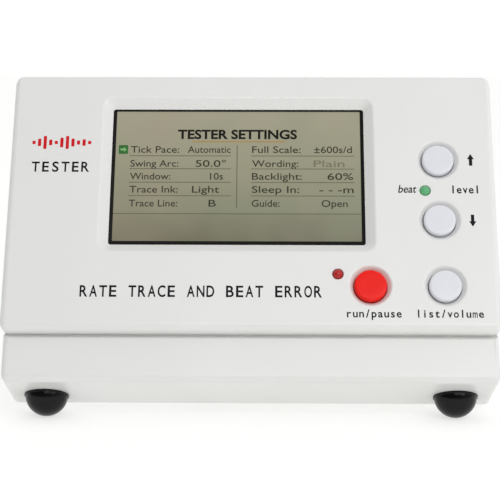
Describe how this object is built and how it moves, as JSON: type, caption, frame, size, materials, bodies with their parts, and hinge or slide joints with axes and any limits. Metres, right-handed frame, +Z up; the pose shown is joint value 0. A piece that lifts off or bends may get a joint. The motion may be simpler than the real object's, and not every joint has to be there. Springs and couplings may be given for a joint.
{
  "type": "timegrapher",
  "caption": "Desktop watch timing tester: leaning housing with a display, push keys, signal lamps, domed rubber feet, and microphone and power sockets at the rear.",
  "frame": {"origin": "middle of the bounding box's base, at the level the four feet stand on", "axes": "+Z up, -Y towards the user (the panel faces -Y and leans back), +X to the user's right"},
  "size_m": [0.19, 0.0966, 0.1302],
  "materials": {
    "white_shell": "satin moulded ABS",
    "black_rubber": "smooth semi-gloss rubber",
    "zinc_screw": "zinc plated",
    "foam_black": "closed-cell foam",
    "display_frame_black": "black painted steel",
    "display_glass": "display glass with anti-glare film",
    "backlight": "light guide",
    "circuit_board": "solder mask on glass-epoxy",
    "chip_black": "moulded epoxy",
    "connector_ivory": "moulded nylon",
    "ribbon": "polyester flat cable",
    "key_white": "glossy moulded ABS",
    "key_red": "glossy moulded ABS",
    "plunger": "acetal",
    "switch_black": "moulded nylon",
    "lamp_green": "clear tinted epoxy",
    "lamp_red": "clear tinted epoxy",
    "capacitor": "printed sleeve",
    "shield_tin": "tinned steel",
    "speaker_steel": "black pressed steel",
    "paper_cone": "pulp paper",
    "magnet": "ferrite",
    "wire_red": "PVC sleeve",
    "socket_black": "moulded nylon",
    "contact_metal": "nickel plated"
  },
  "bodies": {
    "root": {"upper_shell": "white_shell", "lower_shell": "white_shell", "case_screws": "zinc_screw", "display_screws": "zinc_screw", "key_board_screws": "zinc_screw", "main_board_screws": "zinc_screw", "speaker_screws": "zinc_screw", "foot_front_left": "black_rubber", "foot_front_right": "black_rubber", "foot_rear_left": "black_rubber", "foot_rear_right": "black_rubber", "display_gasket": "foam_black", "display_frame": "display_frame_black", "display_glass": "display_glass", "display_backlight": "backlight", "display_board": "circuit_board", "key_board": "circuit_board", "main_board": "circuit_board", "display_driver_chip": "chip_black", "processor_chip": "chip_black", "voltage_regulator": "chip_black", "display_socket": "connector_ivory", "key_board_socket": "connector_ivory", "main_display_socket": "connector_ivory", "main_key_socket": "connector_ivory", "speaker_socket": "connector_ivory", "lamp_spacers": "connector_ivory", "display_ribbon": "ribbon", "key_ribbon": "ribbon", "switch_up": "switch_black", "switch_down": "switch_black", "switch_menu": "switch_black", "switch_start": "switch_black", "lamp_signal": "lamp_green", "lamp_run": "lamp_red", "smoothing_capacitors": "capacitor", "amplifier_shield": "shield_tin", "clock_crystal": "shield_tin", "speaker_frame": "speaker_steel", "speaker_cone": "paper_cone", "speaker_magnet": "magnet", "speaker_wires": "wire_red", "power_inlet": "socket_black", "microphone_socket": "socket_black", "power_inlet_pin": "contact_metal", "microphone_socket_nut": "contact_metal"},
    "up_key": {"key_up": "key_white", "plunger_up": "plunger"},
    "down_key": {"key_down": "key_white", "plunger_down": "plunger"},
    "menu_key": {"key_menu": "key_white", "plunger_menu": "plunger"},
    "start_key": {"key_start": "key_red", "plunger_start": "plunger"}
  },
  "joints": [
    {"name": "up_press", "type": "slide", "parent": "root", "child": "up_key", "axis": [0, 0.8829, -0.4695], "range_m": [0, 0.0005], "stiffness_N_per_m": 600, "springref_m": -0.002},
    {"name": "down_press", "type": "slide", "parent": "root", "child": "down_key", "axis": [0, 0.8829, -0.4695], "range_m": [0, 0.0005], "stiffness_N_per_m": 600, "springref_m": -0.002},
    {"name": "menu_press", "type": "slide", "parent": "root", "child": "menu_key", "axis": [0, 0.8829, -0.4695], "range_m": [0, 0.0005], "stiffness_N_per_m": 600, "springref_m": -0.002},
    {"name": "start_press", "type": "slide", "parent": "root", "child": "start_key", "axis": [0, 0.8829, -0.4695], "range_m": [0, 0.0005], "stiffness_N_per_m": 600, "springref_m": -0.002}
  ]
}
